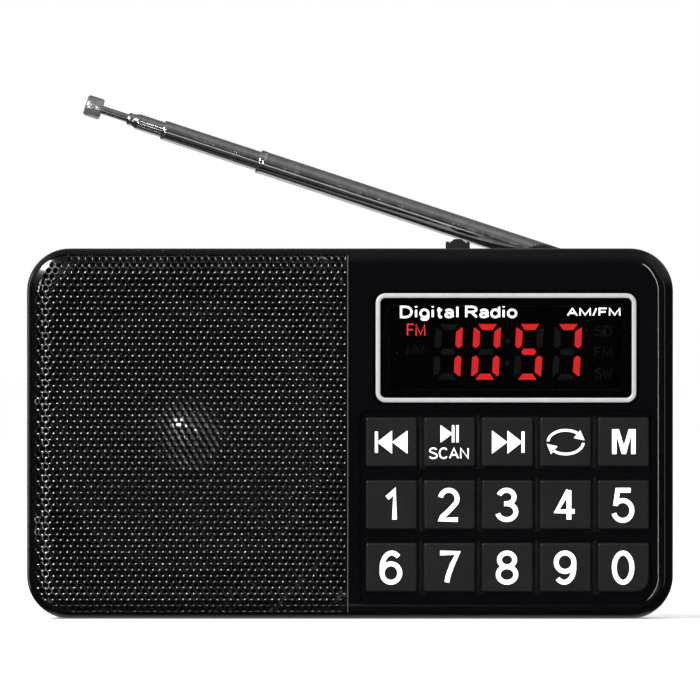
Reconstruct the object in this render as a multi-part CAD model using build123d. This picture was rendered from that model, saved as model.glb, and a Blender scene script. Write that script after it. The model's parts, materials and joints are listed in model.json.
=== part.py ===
from build123d import *
import math
import os

os.makedirs("parts", exist_ok=True)

# Pocket radio, millimetres. +X to the right seen from the front, front at -Y, +Z up.
# Origin: centre of the base. The two half shells meet at y = 0.

# Case
CASE_W = 128.0
CASE_D = 23.5
CASE_H = 73.4
FRONT = -CASE_D / 2
BACK = CASE_D / 2
CORNER_R = 8.5
EDGE_R = 3.0
WALL = 2.0

# Grille and speaker
GRILLE_X = (-63.1, -0.6)
GRILLE_Z = (1.1, 72.2)
GRILLE_CORNER_R = 7.3
GRILLE_FALL = 0.9
GRILLE_SLOPE = 4.5
SHEET = 0.5
GRILLE_DEPTH = 1.35
BAFFLE = 1.6
SPEAKER_X = -31.7
SPEAKER_Z = 36.2
SPEAKER_R = 28.5
SPEAKER_HOLE_R = 27.0
BAFFLE_BACK = FRONT + GRILLE_DEPTH + BAFFLE

# Display
BEZEL_X = (5.075, 56.725)
BEZEL_Z = (42.875, 64.525)
BEZEL_GAP = 0.5
BEZEL_RIM = 0.95
BEZEL_R = 2.0
BEZEL_DEPTH = 0.8
WINDOW_X = (7.4, 54.4)
WINDOW_Z = (45.2, 62.2)
LED_FACE_Y = FRONT + 1.4

# Digits: outlines (x, z) of three of the seven bars round a digit's centre; the others mirror them
DIGIT_X = (19.4, 26.97, 35.4, 43.0)
DIGIT_Z = 52.9
DIGIT_SLANT = 3.0
BAR_TOP = ((-1.85, 5.52), (1.85, 5.52), (1.0, 4.32), (-1.0, 4.32))
BAR_LEFT = ((-2.72, 4.75), (-2.45, 4.8), (-1.4, 4.0), (-1.4, 1.35), (-2.0, 0.72), (-2.72, 1.1))
BAR_MIDDLE = ((-1.5, 0), (-1.05, 0.62), (1.05, 0.62), (1.5, 0), (1.05, -0.62), (-1.05, -0.62))
BAR_T = 0.1
COLON_Z = 2.2
COLON_R = 0.5

# Keys
KEY_W = 10.35
KEY_H = 9.95
KEY_X0 = 8.23
KEY_PITCH_X = 11.49
KEY_ROWS_Z = (35.03, 22.60, 10.18)
KEY_GAP = 0.3
KEY_R = 0.6
KEY_EDGE_R = 0.45
LAST_KEY_R = 2.8
KEY_TRAVEL = 0.8
KEY_PROUD = 0.45
TRAY_DEPTH = 0.5
TRAY_X = (1.9, 59.9)
TRAY_Z = (2.8, 41.3)
KEY_FLANGE_Y = (FRONT + WALL + 0.05, FRONT + WALL + 0.65)
KEY_NAMES = (
    ("key_previous", "key_play_scan", "key_next", "key_repeat", "key_mode"),
    ("key_1", "key_2", "key_3", "key_4", "key_5"),
    ("key_6", "key_7", "key_8", "key_9", "key_0"),
)

# Main board
BOARD_X = (1.5, 60.6)
BOARD_Z = (3.6, 69.2)
BOARD_Y = (-4.5, -3.3)
BOARD_POSTS = ((3.6, 43.2), (57.8, 43.2), (3.6, 66.6), (50.5, 66.6))
MAT_T = 1.0
DOME_H = 0.35
DOME_R = 2.5
FERRITE_X = (-8.0, 42.0)
FERRITE_Y = (4.5, 8.5)
FERRITE_Z = (51.0, 60.0)

# Top controls
WHEEL_X = 38.2
WHEEL_R = 5.6
WHEEL_Z = 68.7
WHEEL_Y = (-1.3, 1.2)
WHEEL_TEETH = 50
WHEEL_SLOT = 5.3
SLIDER_X = 21.4
SLIDER_TRAVEL = 2.0
SWITCH_TOP = 70.2

# Antenna: the pin of its knuckle, and stations along the tubes measured from it
ANT_X = 44.8
ANT_Y = 8.75
ANT_Z = 70.1
ANT_TILT = 18.2
EAR_Y = (1.05, 2.1)
KNUCKLE_R = 2.0
STEP_Y = 5.5
STEP_Z = 67.4
STEP_WALL = 2.0
SPINDLE_R = 1.2
WASHER_R = 1.9
OUTER_TUBE = (2.6, 66.3, 4.65, 4.10)
MIDDLE_TUBE = (28.9, 86.4, 3.95, 3.30)
INNER_TUBE = (37.7, 93.7, 3.15, 2.50)
ROD = (44.5, 99.1, 1.70)
TIP = (99.1, 102.5, 4.2)

# Battery
BATTERY_X = (-10.0, 43.0)
BATTERY_Z = (12.0, 46.0)
BATTERY_Y = (4.3, 10.0)
BAY_X = (-10.3, 44.8)
BAY_Z = (11.7, 46.3)
BAY_Y = (4.0, 10.1)
BAY_WALL = 1.2
DOOR_X = (-12.7, 47.2)
DOOR_Z = (9.3, 48.7)
DOOR_T = 1.6
DOOR_GAP = 0.1

# Screws: (x, z) of each, the same in both shells, and where its front post begins
SCREWS = {(-58.5, 5.5): -10.3, (59.0, 5.0): -7.5, (-59.2, 64.4): -10.3, (59.2, 64.4): -10.3}
POST_R = 3.1
FRONT_POST_R = 2.2
SCREW_R = 0.95
PILOT_R = 1.0
HEAD_R = 1.9
HEAD_SEAT_Y = 6.0

# Sockets in the right-hand wall: z range, y range of each body
SOCKET_FACE_X = CASE_W / 2 - 0.4
USB_Z = (46.8, 60.0)
USB_Y = (-3.3, 2.4)
CARD_Z = (32.0, 44.0)
CARD_Y = (-3.3, -1.2)
JACK_Z = 26.0
JACK_Y = -0.5
JACK_R = 1.8
CHARGE_Z = (12.4, 20.2)
CHARGE_Y = (-3.3, 0.6)


def block(x, y, z):
    """Box between three pairs of coordinates."""
    size = (x[1] - x[0], y[1] - y[0], z[1] - z[0])
    return Pos((x[0] + x[1]) / 2, (y[0] + y[1]) / 2, (z[0] + z[1]) / 2) * Box(*size)


def slab(x, y, z, radius, last_radius=None):
    """Upright plate in the XZ plane with rounded corners, the lower right one with its own radius if given."""
    lower_right = (x[1], y[0], z[0])
    corners = block(x, y, z).edges().filter_by(Axis.Y).sort_by_distance(lower_right)
    plate = fillet(corners[1:], radius)
    corner = plate.edges().filter_by(Axis.Y).sort_by_distance(lower_right)[0]
    return fillet(corner, last_radius or radius)


def grow(span, by):
    return (span[0] - by, span[1] + by)


def round_bar(start, end, radius):
    """Cylinder from one point to another."""
    axis = Vector(*end) - Vector(*start)
    plane = Plane(origin=start, z_dir=axis)
    return extrude(plane * Circle(radius), axis.length)


def drum(x, z, y, radius):
    """Cylinder along Y."""
    return round_bar((x, y[0], z), (x, y[1], z), radius)


def turned(points, x, z):
    """Solid of revolution about the line through (x, z) along Y; points are (radius, y)."""
    outline = make_face(Polyline(*[(x + r, y, z) for r, y in points], close=True))
    return revolve(outline, Axis((x, 0, z), (0, 1, 0)), 360)


def save(name, shape):
    export_step(shape, f"parts/{name}.step")


def case_half(y, end_y):
    """Outer form of one half shell, rounded round the face at end_y."""
    solid = slab((-CASE_W / 2, CASE_W / 2), y, (0, CASE_H), CORNER_R)
    face = solid.faces().filter_by(Axis.Y).sort_by(Axis.Y)[0 if end_y < 0 else -1]
    return fillet(face.edges(), EDGE_R)


def case_cavity(y):
    x = (-CASE_W / 2 + WALL, CASE_W / 2 - WALL)
    return slab(x, y, (WALL, CASE_H - WALL), CORNER_R - WALL)


def wall_cutouts():
    """Everything that passes through the top and right walls, on both sides of the joint."""
    right = (CASE_W / 2 - WALL - 1, CASE_W / 2 + 1)
    top = (CASE_H - WALL - 1, CASE_H + 1)
    cuts = block((WHEEL_X - WHEEL_SLOT, WHEEL_X + WHEEL_SLOT), grow(WHEEL_Y, 0.4), top)
    stem = (SLIDER_X - 1.4, SLIDER_X + SLIDER_TRAVEL + 1.4)
    cuts += block(stem, (-1.1, 1.1), top)
    cuts += block(right, grow(USB_Y, 0.15), grow(USB_Z, 0.15))
    cuts += block(right, (CARD_Y[0] + 0.35, CARD_Y[1] - 0.35), grow(CARD_Z, -0.3))
    cuts += block(right, grow(CHARGE_Y, 0.15), grow(CHARGE_Z, 0.15))
    cuts += round_bar((right[0], JACK_Y, JACK_Z), (right[1], JACK_Y, JACK_Z), 3.1)
    return cuts


def key_centre(row, column):
    return KEY_X0 + KEY_PITCH_X * column, KEY_ROWS_Z[row]


def corner_radius(row, column):
    """The lower right corner of the last key follows the corner of the case."""
    return LAST_KEY_R if (row, column) == (2, 4) else KEY_R


def row_span_x(margin):
    left = KEY_X0 - KEY_W / 2
    right = KEY_X0 + 4 * KEY_PITCH_X + KEY_W / 2
    return (left - margin, right + margin)


def grille_outline(inset, y):
    """Plate whose left corners are large and whose right edge is square to the joint line."""
    solid = block((GRILLE_X[0] + inset, GRILLE_X[1] - inset), y, grow(GRILLE_Z, -inset))
    left = solid.edges().filter_by(Axis.Y).sort_by(Axis.X)[:2]
    return fillet(left, GRILLE_CORNER_R - inset)


def bent_grille(inset, front):
    """The outline with its left, top and bottom borders falling away from the front."""
    solid = grille_outline(inset, (front, FRONT + GRILLE_DEPTH))
    reach = 80
    steep = math.degrees(math.atan2(GRILLE_FALL, GRILLE_SLOPE))
    for x, z, turn in (
        (GRILLE_X[0], CASE_H / 2, 0),
        (-CASE_W / 4, GRILLE_Z[1], 90),
        (-CASE_W / 4, GRILLE_Z[0], -90),
    ):
        wedge = Pos(0, -reach / 2, 0) * Box(2 * reach, reach, 2 * reach)
        wedge = Rot(0, 0, -steep) * wedge
        solid -= Pos(x, front + GRILLE_FALL, z) * Rot(0, turn, 0) * wedge
    return solid


def speaker_grille():
    return bent_grille(0.1, FRONT) - bent_grille(0.1 + SHEET, FRONT + SHEET)


def front_shell():
    shell = case_half((FRONT, 0), FRONT)
    shell -= case_cavity((BAFFLE_BACK, 0))
    shell -= case_cavity((FRONT + WALL, 0)) & block((0.6, CASE_W), (FRONT, 0), (0, CASE_H))
    shell -= grille_outline(0, (FRONT - 1, FRONT + GRILLE_DEPTH))
    shell -= drum(SPEAKER_X, SPEAKER_Z, (FRONT, 0), SPEAKER_HOLE_R)
    shell -= slab(TRAY_X, (FRONT - 1, FRONT + TRAY_DEPTH), TRAY_Z, 1.2, 3.5)
    for row, z in enumerate(KEY_ROWS_Z):
        slot_z = (z - KEY_H / 2 - KEY_GAP, z + KEY_H / 2 + KEY_GAP)
        last_radius = corner_radius(row, 4) + KEY_GAP
        shell -= slab(row_span_x(KEY_GAP), (FRONT - 1, 0), slot_z, KEY_R + KEY_GAP, last_radius)
    recess_x = grow(BEZEL_X, BEZEL_GAP)
    recess_z = grow(BEZEL_Z, BEZEL_GAP)
    shell -= slab(recess_x, (FRONT - 1, FRONT + BEZEL_DEPTH), recess_z, BEZEL_R + BEZEL_GAP)
    shell -= slab(WINDOW_X, (FRONT - 1, 0), WINDOW_Z, 1.0)
    outer = case_half((FRONT, 0), FRONT)
    for (x, z), start in SCREWS.items():
        shell += outer & drum(x, z, (start, 0), FRONT_POST_R)
        shell -= drum(x, z, (HEAD_SEAT_Y - 13, 1), PILOT_R)
    for x, z in BOARD_POSTS:
        shell += drum(x, z, (FRONT + WALL - 0.5, BOARD_Y[0]), 1.5)
    return shell - wall_cutouts()


def antenna_step(margin):
    """The rabbet along the whole top rear edge, in which the antenna lies."""
    return block((-CASE_W, CASE_W), (STEP_Y - margin, BACK + 5), (STEP_Z - margin, CASE_H + 5))


def rear_shell():
    outer = case_half((0, BACK), BACK)
    shell = outer - case_cavity((0, BACK - WALL))
    inner = block((-CASE_W, CASE_W), (0, BACK - DOOR_T - 0.05), (-1, CASE_H + 1))
    shell += outer & antenna_step(STEP_WALL) & inner
    bay = block(grow(BAY_X, BAY_WALL), (BAY_Y[0] - BAY_WALL, BACK - 1), grow(BAY_Z, BAY_WALL))
    rim = block(grow(DOOR_X, 1.2), (BACK - 3.2, BACK - 1), grow(DOOR_Z, 1.2))
    shell = shell + bay + rim
    for x, z in SCREWS:
        shell += outer & drum(x, z, (0, BACK), POST_R)
    shell -= block(BAY_X, (BAY_Y[0], BACK + 1), BAY_Z)
    shell -= block(grow(DOOR_X, DOOR_GAP), (BACK - DOOR_T - 0.05, BACK + 1), grow(DOOR_Z, DOOR_GAP))
    pin_y = BACK - DOOR_T / 2
    pin_z = DOOR_Z[0] + DOOR_T / 2
    pin_reach = grow(DOOR_X, 1.0)
    shell -= round_bar((pin_reach[0], pin_y, pin_z), (pin_reach[1], pin_y, pin_z), 0.5)
    notch_x = (DOOR_X[0] + DOOR_X[1]) / 2
    shell -= Pos(notch_x, BACK + 3.2, DOOR_Z[1] + 1.0) * Sphere(5.0)
    shell -= antenna_step(0)
    shell -= round_bar((ANT_X, ANT_Y, STEP_Z - 3), (ANT_X, ANT_Y, STEP_Z + 1), SPINDLE_R + 0.05)
    washer_z = STEP_Z - STEP_WALL
    shell -= round_bar((ANT_X, ANT_Y, washer_z - 1.2), (ANT_X, ANT_Y, washer_z), WASHER_R + 0.2)
    for x, z in SCREWS:
        shell -= drum(x, z, (-1, BACK), SCREW_R + 0.15)
        shell -= drum(x, z, (HEAD_SEAT_Y, BACK + 1), HEAD_R + 0.2)
    for x in (-6.0, 40.0):
        shell += block((x - 1, x + 1), (8.5, BACK - WALL + 0.5), (51.5, 58.5))
    for x, z in (((-61.95, -61.1), (15, 60)), ((-45, 45), (2.05, 2.9))):
        shell += block(x, (-1.5, 1.5), z)
    shell += block((-62.5, -61.1), (0, 1.5), (15, 60))
    shell += block((-45, 45), (0, 1.5), (1.5, 2.9))
    return shell - wall_cutouts()


def display_bezel():
    y = (FRONT, FRONT + BEZEL_DEPTH)
    inside_x = grow(BEZEL_X, -BEZEL_RIM)
    inside_z = grow(BEZEL_Z, -BEZEL_RIM)
    ring = slab(BEZEL_X, y, BEZEL_Z, BEZEL_R)
    ring -= slab(inside_x, grow(y, 1), inside_z, BEZEL_R - BEZEL_RIM + 0.05)
    return fillet(ring.faces().sort_by(Axis.Y)[0].edges(), 0.2)


def display_lens():
    x = grow(BEZEL_X, -BEZEL_RIM - 0.02)
    z = grow(BEZEL_Z, -BEZEL_RIM - 0.02)
    return slab(x, (FRONT + 0.1, FRONT + BEZEL_DEPTH), z, BEZEL_R - BEZEL_RIM + 0.05)


def led_display():
    return block(grow(WINDOW_X, -0.5), (LED_FACE_Y, BOARD_Y[0]), grow(WINDOW_Z, -0.4))


def digit_segments(centre_x):
    """The seven bars of one leaning digit, by their usual letters."""
    sources = {
        "a": (BAR_TOP, 1, 1),
        "b": (BAR_LEFT, -1, 1),
        "c": (BAR_LEFT, -1, -1),
        "d": (BAR_TOP, 1, -1),
        "e": (BAR_LEFT, 1, -1),
        "f": (BAR_LEFT, 1, 1),
        "g": (BAR_MIDDLE, 1, 1),
    }
    lean = math.tan(math.radians(DIGIT_SLANT))
    bars = {}
    for letter, (outline, flip_x, flip_z) in sources.items():
        points = []
        for x, z in outline:
            points.append((centre_x + flip_x * x + flip_z * z * lean, LED_FACE_Y, DIGIT_Z + flip_z * z))
        bars[letter] = extrude(make_face(Polyline(*points, close=True)), BAR_T, dir=(0, -1, 0))
    return bars


def led_segments():
    """The bars that glow for 10:57 without its colon, and those that stay dark."""
    lit, unlit = [], []
    for centre_x, glowing in zip(DIGIT_X, ("bc", "abcdef", "acdfg", "abc")):
        for letter, solid in digit_segments(centre_x).items():
            group = lit if letter in glowing else unlit
            group.append(solid)
    colon_x = (DIGIT_X[1] + DIGIT_X[2]) / 2
    for dz in (-COLON_Z, COLON_Z):
        unlit.append(drum(colon_x, DIGIT_Z + dz, (LED_FACE_Y - BAR_T, LED_FACE_Y), COLON_R))
    return Compound(lit), Compound(unlit)


def key(row, column):
    """Cap, retaining flange and plunger in one moulding."""
    x, z = key_centre(row, column)
    span_x = (x - KEY_W / 2, x + KEY_W / 2)
    span_z = (z - KEY_H / 2, z + KEY_H / 2)
    front = FRONT + TRAY_DEPTH - KEY_PROUD
    cap = slab(span_x, (front, KEY_FLANGE_Y[1]), span_z, KEY_R, corner_radius(row, column))
    cap = fillet(cap.faces().sort_by(Axis.Y)[0].edges(), KEY_EDGE_R)
    flange = block(grow(span_x, 0.38), KEY_FLANGE_Y, grow(span_z, 0.72))
    dome_front = BOARD_Y[0] - DOME_H
    plunger = drum(x, z, (KEY_FLANGE_Y[0], dome_front - KEY_TRAVEL - 0.05), 1.8)
    return cap + flange + plunger


def keypad_mat():
    y = (BOARD_Y[0] - MAT_T, BOARD_Y[0])
    mat = slab(grow(row_span_x(0), 0.4), y, (4.2, 40.9), 1.0)
    for row in range(3):
        for column in range(5):
            x, z = key_centre(row, column)
            mat -= drum(x, z, grow(y, 1), 4.2)
    for x, z in SCREWS:
        mat -= drum(x, z, grow(y, 1), FRONT_POST_R + 0.3)
    return mat


def snap_domes():
    base = BOARD_Y[0]
    crown = base - DOME_H
    profile = ((0, base), (0, crown), (DOME_R / 2, crown), (DOME_R, base - 0.05), (DOME_R, base))
    domes = []
    for row in range(3):
        for column in range(5):
            domes.append(turned(profile, *key_centre(row, column)))
    return Compound([solid for dome in domes for solid in dome.solids()])


def main_board():
    board = slab(BOARD_X, BOARD_Y, BOARD_Z, 1.0)
    for x, z in SCREWS:
        board -= drum(x, z, grow(BOARD_Y, 1), FRONT_POST_R + 0.5)
    return board


def leaded_chip(x, z, width, height, thickness, leads):
    """Moulded package on the back of the board with a row of leads on each side."""
    board_back = BOARD_Y[1]
    span_x = (x - width / 2, x + width / 2)
    span_z = (z - height / 2, z + height / 2)
    body = block(span_x, (board_back + 0.1, board_back + thickness), span_z)
    pitch = width / leads
    for index in range(leads):
        lead_x = span_x[0] + pitch * (index + 0.5)
        lead = grow((lead_x, lead_x), pitch * 0.22)
        body += block(lead, (board_back, board_back + 0.25), grow(span_z, 0.9))
    return body


def capacitors():
    solids = []
    places = ((6, 8.5, 2.5, 5.2), (13, 8.0, 2.0, 5.0), (50, 8.0, 2.5, 5.2), (47.5, 65.0, 2.0, 5.0))
    for x, z, radius, height in places:
        can = drum(x, z, (BOARD_Y[1], BOARD_Y[1] + height), radius)
        solids.append(fillet(can.edges().sort_by(Axis.Y)[-1], 0.4))
    return Compound([solid for can in solids for solid in can.solids()])


def ferrite_section(x, margin, radius):
    bar_shape = block(x, grow(FERRITE_Y, margin), grow(FERRITE_Z, margin))
    return fillet(bar_shape.edges().filter_by(Axis.X), radius)


def ferrite_bar():
    return ferrite_section(FERRITE_X, 0, 1.0)


def ferrite_coil():
    return ferrite_section((2, 20), 0.6, 1.5) - ferrite_section(FERRITE_X, 0, 1.0)


def speaker_frame():
    y = BAFFLE_BACK
    outside = ((SPEAKER_R, y), (SPEAKER_R, y + 0.9), (26.4, y + 0.9), (26.0, y + 1.9), (16.2, -0.6))
    floor = ((8.2, -0.6), (8.2, -1.3), (14.4, -1.3), (14.4, -2.2), (16.0, -2.2))
    inside = ((24.4, y + 1.2), (25.6, y + 1.2), (25.6, y))
    frame = turned(outside + floor + inside, SPEAKER_X, SPEAKER_Z)
    for index in range(6):
        window = Pos(20.5, -4.3, 0) * Box(7.0, 4.4, 11.0)
        frame -= Pos(SPEAKER_X, 0, SPEAKER_Z) * Rot(0, 60 * index + 30, 0) * window
    return frame


def speaker_top_plate():
    return turned(((7.0, -0.6), (14.0, -0.6), (14.0, 0.9), (7.0, 0.9)), SPEAKER_X, SPEAKER_Z)


def speaker_magnet():
    return turned(((8.5, 0.9), (15.0, 0.9), (15.0, 5.2), (8.5, 5.2)), SPEAKER_X, SPEAKER_Z)


def speaker_yoke():
    profile = ((0, -0.4), (6.1, -0.4), (6.1, 5.2), (14.0, 5.2), (14.0, 6.6), (0, 6.6))
    return turned(profile, SPEAKER_X, SPEAKER_Z)


def voice_coil():
    return turned(((6.35, -3.2), (6.75, -3.2), (6.75, 2.2), (6.35, 2.2)), SPEAKER_X, SPEAKER_Z)


def speaker_cone():
    y = BAFFLE_BACK
    front = ((6.35, -3.2), (6.85, -3.6), (21.6, y + 1.2), (22.0, y + 1.2))
    back = ((22.0, y + 1.6), (21.6, y + 1.6), (7.2, -3.2))
    return turned(front + back, SPEAKER_X, SPEAKER_Z)


def speaker_dust_cap():
    """Shallow dome closing the throat of the cone."""
    radius = 9.2
    base_y = -4.3
    centre = Pos(SPEAKER_X, base_y + 5.0, SPEAKER_Z)
    shell = centre * (Sphere(radius) - Sphere(radius - 0.3))
    return shell & drum(SPEAKER_X, SPEAKER_Z, (base_y - 10, base_y), 9.0)


def speaker_surround():
    """Half roll between the cone's rim and the frame."""
    y = BAFFLE_BACK + 0.9
    points = [(22.0, y + 0.3), (22.0, y - 0.02)]
    steps = 8
    for index in range(steps + 1):
        angle = math.pi * index / steps
        points.append((23.4 - 1.3 * math.cos(angle), y - 0.02 - 1.3 * math.sin(angle)))
    points.append((25.5, y - 0.02))
    points.append((25.5, y + 0.3))
    points.append((24.5, y + 0.3))
    for index in range(steps + 1):
        angle = math.pi * (1 - index / steps)
        points.append((23.4 - 1.0 * math.cos(angle), y + 0.2 - 1.0 * math.sin(angle)))
    return turned(points, SPEAKER_X, SPEAKER_Z)


def speaker_spider():
    """Corrugated disc that centres the voice coil."""
    front = []
    for index in range(11):
        front.append((6.75 + 0.745 * index, -2.4 + 0.3 * (index % 2)))
    front.append((15.8, -2.4))
    back = [(r, y + 0.2) for r, y in front]
    return turned(front + back[::-1], SPEAKER_X, SPEAKER_Z)


def volume_potentiometer():
    body = drum(WHEEL_X, WHEEL_Z, (BOARD_Y[1], WHEEL_Y[0] - 0.2), 5.0)
    trimmed = body & block((WHEEL_X - 6, WHEEL_X + 6), (-5, 5), (WHEEL_Z - 6, CASE_H - WALL - 0.3))
    return trimmed + drum(WHEEL_X, WHEEL_Z, (WHEEL_Y[0] - 0.3, WHEEL_Y[1] + 0.4), 1.2)


def volume_wheel():
    wheel = drum(WHEEL_X, WHEEL_Z, WHEEL_Y, WHEEL_R)
    wheel = chamfer(wheel.edges(), 0.25)
    groove = block((-0.13, 0.13), grow(WHEEL_Y, 1), (WHEEL_R - 0.25, WHEEL_R + 1))
    for index in range(WHEEL_TEETH):
        wheel -= Pos(WHEEL_X, 0, WHEEL_Z) * Rot(0, 360 * index / WHEEL_TEETH, 0) * groove
    return wheel - drum(WHEEL_X, WHEEL_Z, grow(WHEEL_Y, 1), 1.25)


def power_switch():
    x = (SLIDER_X + 1 - 5.0, SLIDER_X + 1 + 5.0)
    body = block(x, (BOARD_Y[1], 1.6), (66.2, SWITCH_TOP))
    return body - block((SLIDER_X - 1.0, SLIDER_X + SLIDER_TRAVEL + 1.0), (-0.8, 0.8), (68.6, SWITCH_TOP + 1))


def power_slider():
    """Knob with a raised ridge, foot inside the wall and lever into the switch."""
    top = CASE_H + 0.05
    half = ((0, 1.85), (0.8, 1.85), (1.2, 1.4), (2.1, 1.4), (2.4, 1.15), (2.4, 0))
    right = [(SLIDER_X + x, -1.6, top + z) for x, z in half]
    left = [(SLIDER_X - x, -1.6, top + z) for x, z in half[:0:-1]]
    knob = extrude(make_face(Polyline(*right, *left, close=True)), 3.2, dir=(0, 1, 0))
    for x in (SLIDER_X - 1.65, SLIDER_X + 1.65):
        knob -= block(grow((x, x), 0.12), (-2, 2), (top + 1.15, top + 2))
    inside = CASE_H - WALL
    stem = block(grow((SLIDER_X, SLIDER_X), 1.2), (-1.0, 1.0), (inside - 0.5, top))
    foot = block(grow((SLIDER_X, SLIDER_X), 3.2), (-1.5, 1.5), (inside - 0.9, inside - 0.1))
    lever = block(grow((SLIDER_X, SLIDER_X), 0.7), (-0.6, 0.6), (69.0, inside - 0.5))
    return knob + stem + foot + lever


def usb_socket():
    x = (SOCKET_FACE_X - 14, SOCKET_FACE_X)
    can = block(x, USB_Y, USB_Z) - block((x[0] + 2, x[1] + 1), grow(USB_Y, -0.4), grow(USB_Z, -0.4))
    return can + block((x[0] + 1, x[1] - 2), (USB_Y[0] + 0.9, USB_Y[0] + 2.7), grow(USB_Z, -1.2))


def card_slot():
    x = (CASE_W / 2 - WALL - 15.2, CASE_W / 2 - WALL - 0.2)
    mouth = block((x[0] + 1.5, x[1] + 1), (CARD_Y[0] + 0.5, CARD_Y[1] - 0.5), grow(CARD_Z, -0.5))
    return block(x, CARD_Y, CARD_Z) - mouth


def headphone_jack():
    x = (CASE_W / 2 - WALL - 12.0, CASE_W / 2 - WALL - 0.1)
    body = block(x, (BOARD_Y[1], 2.3), (JACK_Z - 3, JACK_Z + 3))
    body += round_bar((x[1] - 1, JACK_Y, JACK_Z), (SOCKET_FACE_X, JACK_Y, JACK_Z), 2.95)
    return body - round_bar((x[0] + 1.5, JACK_Y, JACK_Z), (SOCKET_FACE_X + 1, JACK_Y, JACK_Z), JACK_R)


def charge_socket():
    x = (SOCKET_FACE_X - 9, SOCKET_FACE_X)
    can = block(x, CHARGE_Y, CHARGE_Z)
    can -= block((x[0] + 1.5, x[1] + 1), grow(CHARGE_Y, -0.4), grow(CHARGE_Z, -0.4))
    return can + block((x[0] + 1, x[1] - 1.5), (CHARGE_Y[0] + 1.6, CHARGE_Y[0] + 2.3), grow(CHARGE_Z, -1.6))


def battery():
    cell = block(BATTERY_X, BATTERY_Y, BATTERY_Z)
    return fillet(cell.edges().filter_by(Axis.X), 1.2)


def battery_contacts():
    solids = []
    for z in (20.0, 24.5, 29.0):
        solids.append(block((BATTERY_X[1], BAY_X[1]), (6.0, 8.2), (z - 0.75, z + 0.75)))
    return Compound([solid for blade in solids for solid in blade.solids()])


def battery_door():
    """Flush cover that swings on two stub pins along its lower, fully rounded edge."""
    y = (BACK - DOOR_T, BACK)
    pin_y = BACK - DOOR_T / 2
    pin_z = DOOR_Z[0] + DOOR_T / 2
    door = block(DOOR_X, y, (pin_z, DOOR_Z[1]))
    door += round_bar((DOOR_X[0], pin_y, pin_z), (DOOR_X[1], pin_y, pin_z), DOOR_T / 2)
    for inner, outer in ((DOOR_X[0] + 1, DOOR_X[0] - 0.9), (DOOR_X[1] - 1, DOOR_X[1] + 0.9)):
        door += round_bar((inner, pin_y, pin_z), (outer, pin_y, pin_z), 0.44)
    middle = (DOOR_X[0] + DOOR_X[1]) / 2
    for index in range(6):
        z = DOOR_Z[1] - 3.0 - 1.1 * index
        door -= block((middle - 7, middle + 7), (BACK - 0.3, BACK + 1), (z - 0.25, z + 0.25))
    return door


def case_screws():
    solids = []
    for x, z in SCREWS:
        head = drum(x, z, (HEAD_SEAT_Y, HEAD_SEAT_Y + 1.5), HEAD_R)
        cross = block((x - 0.25, x + 0.25), (HEAD_SEAT_Y + 0.7, HEAD_SEAT_Y + 2), (z - 1.1, z + 1.1))
        cross += block((x - 1.1, x + 1.1), (HEAD_SEAT_Y + 0.7, HEAD_SEAT_Y + 2), (z - 0.25, z + 0.25))
        solids.append(head + drum(x, z, (HEAD_SEAT_Y - 12, HEAD_SEAT_Y + 0.1), SCREW_R) - cross)
    return Compound([solid for screw in solids for solid in screw.solids()])


ANT_AXIS = Vector(-math.cos(math.radians(ANT_TILT)), 0, math.sin(math.radians(ANT_TILT)))
PIN = Vector(ANT_X, ANT_Y, ANT_Z)


def along(station):
    return tuple(PIN + ANT_AXIS * station)


def tube_between(start, end, outer_d, inner_d):
    solid = round_bar(along(start), along(end), outer_d / 2)
    return solid - round_bar(along(start - 1), along(end + 1), inner_d / 2)


def antenna_base():
    """Fork on a spindle that turns in the floor of the step."""
    base = round_bar((ANT_X, ANT_Y, STEP_Z + 0.02), (ANT_X, ANT_Y, STEP_Z + 0.3), 3.0)
    washer_z = STEP_Z - STEP_WALL
    base += round_bar((ANT_X, ANT_Y, washer_z - 0.9), (ANT_X, ANT_Y, STEP_Z + 0.1), SPINDLE_R)
    base += round_bar((ANT_X, ANT_Y, washer_z - 0.9), (ANT_X, ANT_Y, washer_z - 0.1), WASHER_R)
    for side in (-1, 1):
        y = sorted((ANT_Y + side * EAR_Y[0], ANT_Y + side * EAR_Y[1]))
        base += block((ANT_X - 1.9, ANT_X + 1.9), y, (STEP_Z + 0.1, ANT_Z))
        base += drum(ANT_X, ANT_Z, y, 1.9)
    return base - drum(ANT_X, ANT_Z, (ANT_Y - 3, ANT_Y + 3), 0.8)


def antenna_pin():
    return drum(ANT_X, ANT_Z, (ANT_Y - EAR_Y[1], ANT_Y + EAR_Y[1]), 0.8)


def antenna_outer_tube():
    """Tube with a solid root that is flattened to a tang round the pin."""
    start, end, outer_d, inner_d = OUTER_TUBE
    solid = round_bar(along(start), along(end), outer_d / 2)
    solid -= round_bar(along(start + 6), along(end + 1), inner_d / 2)
    tang_y = (ANT_Y - 0.95, ANT_Y + 0.95)
    tang = drum(ANT_X, ANT_Z, tang_y, KNUCKLE_R)
    neck = block((-start - 0.5, 0), tang_y, (-1.8, 1.8))
    neck = Pos(ANT_X, 0, ANT_Z) * Rot(0, ANT_TILT, 0) * neck
    return solid + tang + neck - drum(ANT_X, ANT_Z, (ANT_Y - 3, ANT_Y + 3), 0.85)


def antenna_inner_tube():
    """Tube whose mouth is drawn in to guide the rod."""
    start, end, outer_d, inner_d = INNER_TUBE
    neck_start = end - 2.1
    tube = tube_between(start, neck_start, outer_d, inner_d)
    mouth = round_bar(along(neck_start), along(end), outer_d / 2 - 0.2)
    return tube + mouth - round_bar(along(neck_start - 1), along(end + 1), ROD[2] / 2 + 0.075)


def antenna_rod():
    start, end, diameter = ROD
    return round_bar(along(start), along(end), diameter / 2) + round_bar(along(start), along(start + 2), 1.18)


def antenna_tip():
    start, end, diameter = TIP
    cap = round_bar(along(start), along(end), diameter / 2)
    return fillet(cap.edges(), 0.5)


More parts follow.
